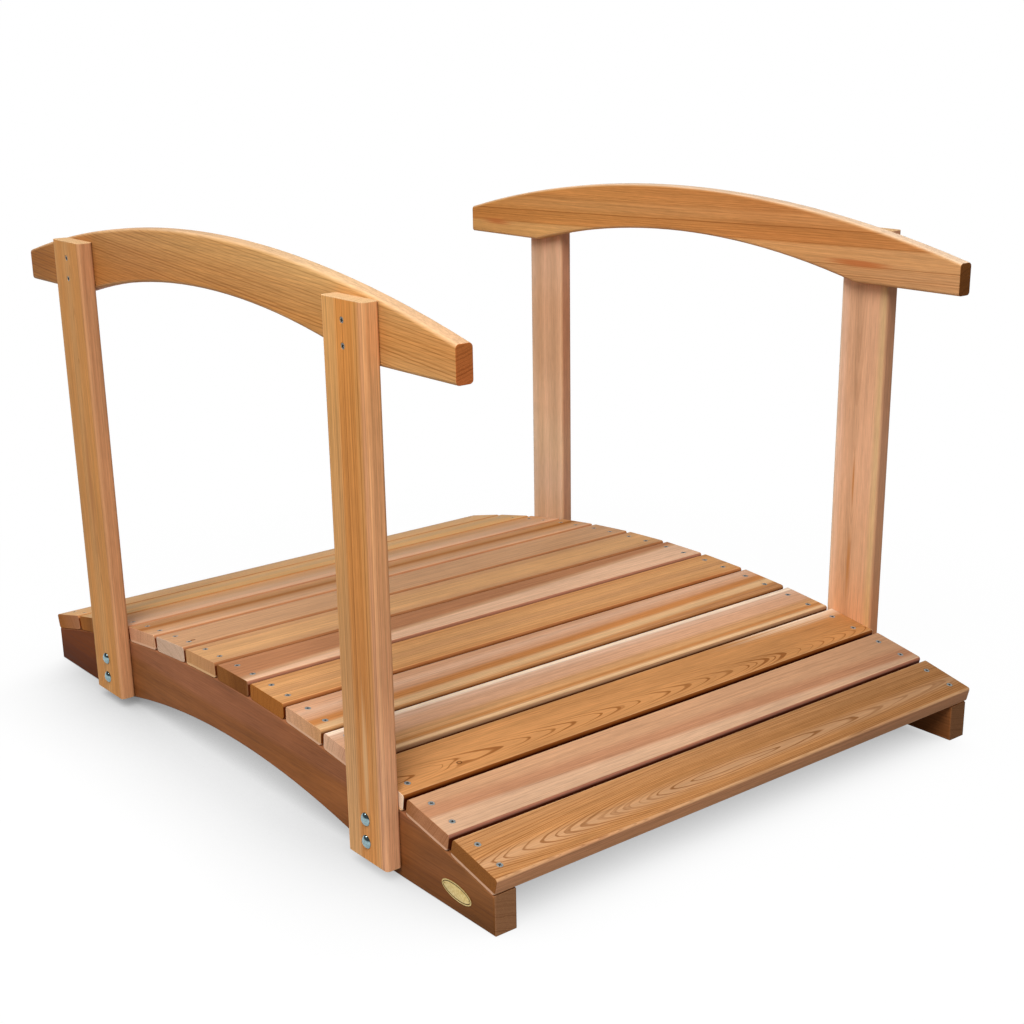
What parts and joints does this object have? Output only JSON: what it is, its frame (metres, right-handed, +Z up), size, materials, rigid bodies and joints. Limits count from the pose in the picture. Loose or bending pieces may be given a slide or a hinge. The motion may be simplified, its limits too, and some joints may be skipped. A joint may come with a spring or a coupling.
{
  "type": "arched garden footbridge",
  "caption": "Low arched wooden garden footbridge: arched side beams on flat feet, slatted deck over them, bolted posts and arched handrails on both sides.",
  "frame": {"origin": "on the ground under the middle of the deck", "axes": "+X along the span to the front end, +Y to the right side seen from the front, +Z up"},
  "size_m": [1.2288, 0.9556, 0.7795],
  "materials": {
    "beam_wood": "planed cedar, stained reddish brown",
    "deck_wood": "planed cedar, oiled, mixed heartwood and sapwood",
    "post_wood": "planed cedar, oiled",
    "rail_wood": "planed cedar, oiled, straight grain"
  },
  "bodies": {
    "root": {"left_beam": "beam_wood", "right_beam": "beam_wood", "deck_slat_01": "deck_wood", "deck_slat_02": "deck_wood", "deck_slat_03": "deck_wood", "deck_slat_04": "deck_wood", "deck_slat_05": "deck_wood", "deck_slat_06": "deck_wood", "deck_slat_07": "deck_wood", "deck_slat_08": "deck_wood", "deck_slat_09": "deck_wood", "deck_slat_10": "deck_wood", "deck_slat_11": "deck_wood", "deck_slat_12": "deck_wood", "deck_slat_13": "deck_wood", "left_front_post": "post_wood", "left_back_post": "post_wood", "right_front_post": "post_wood", "right_back_post": "post_wood", "left_handrail": "rail_wood", "right_handrail": "rail_wood"}
  },
  "joints": []
}
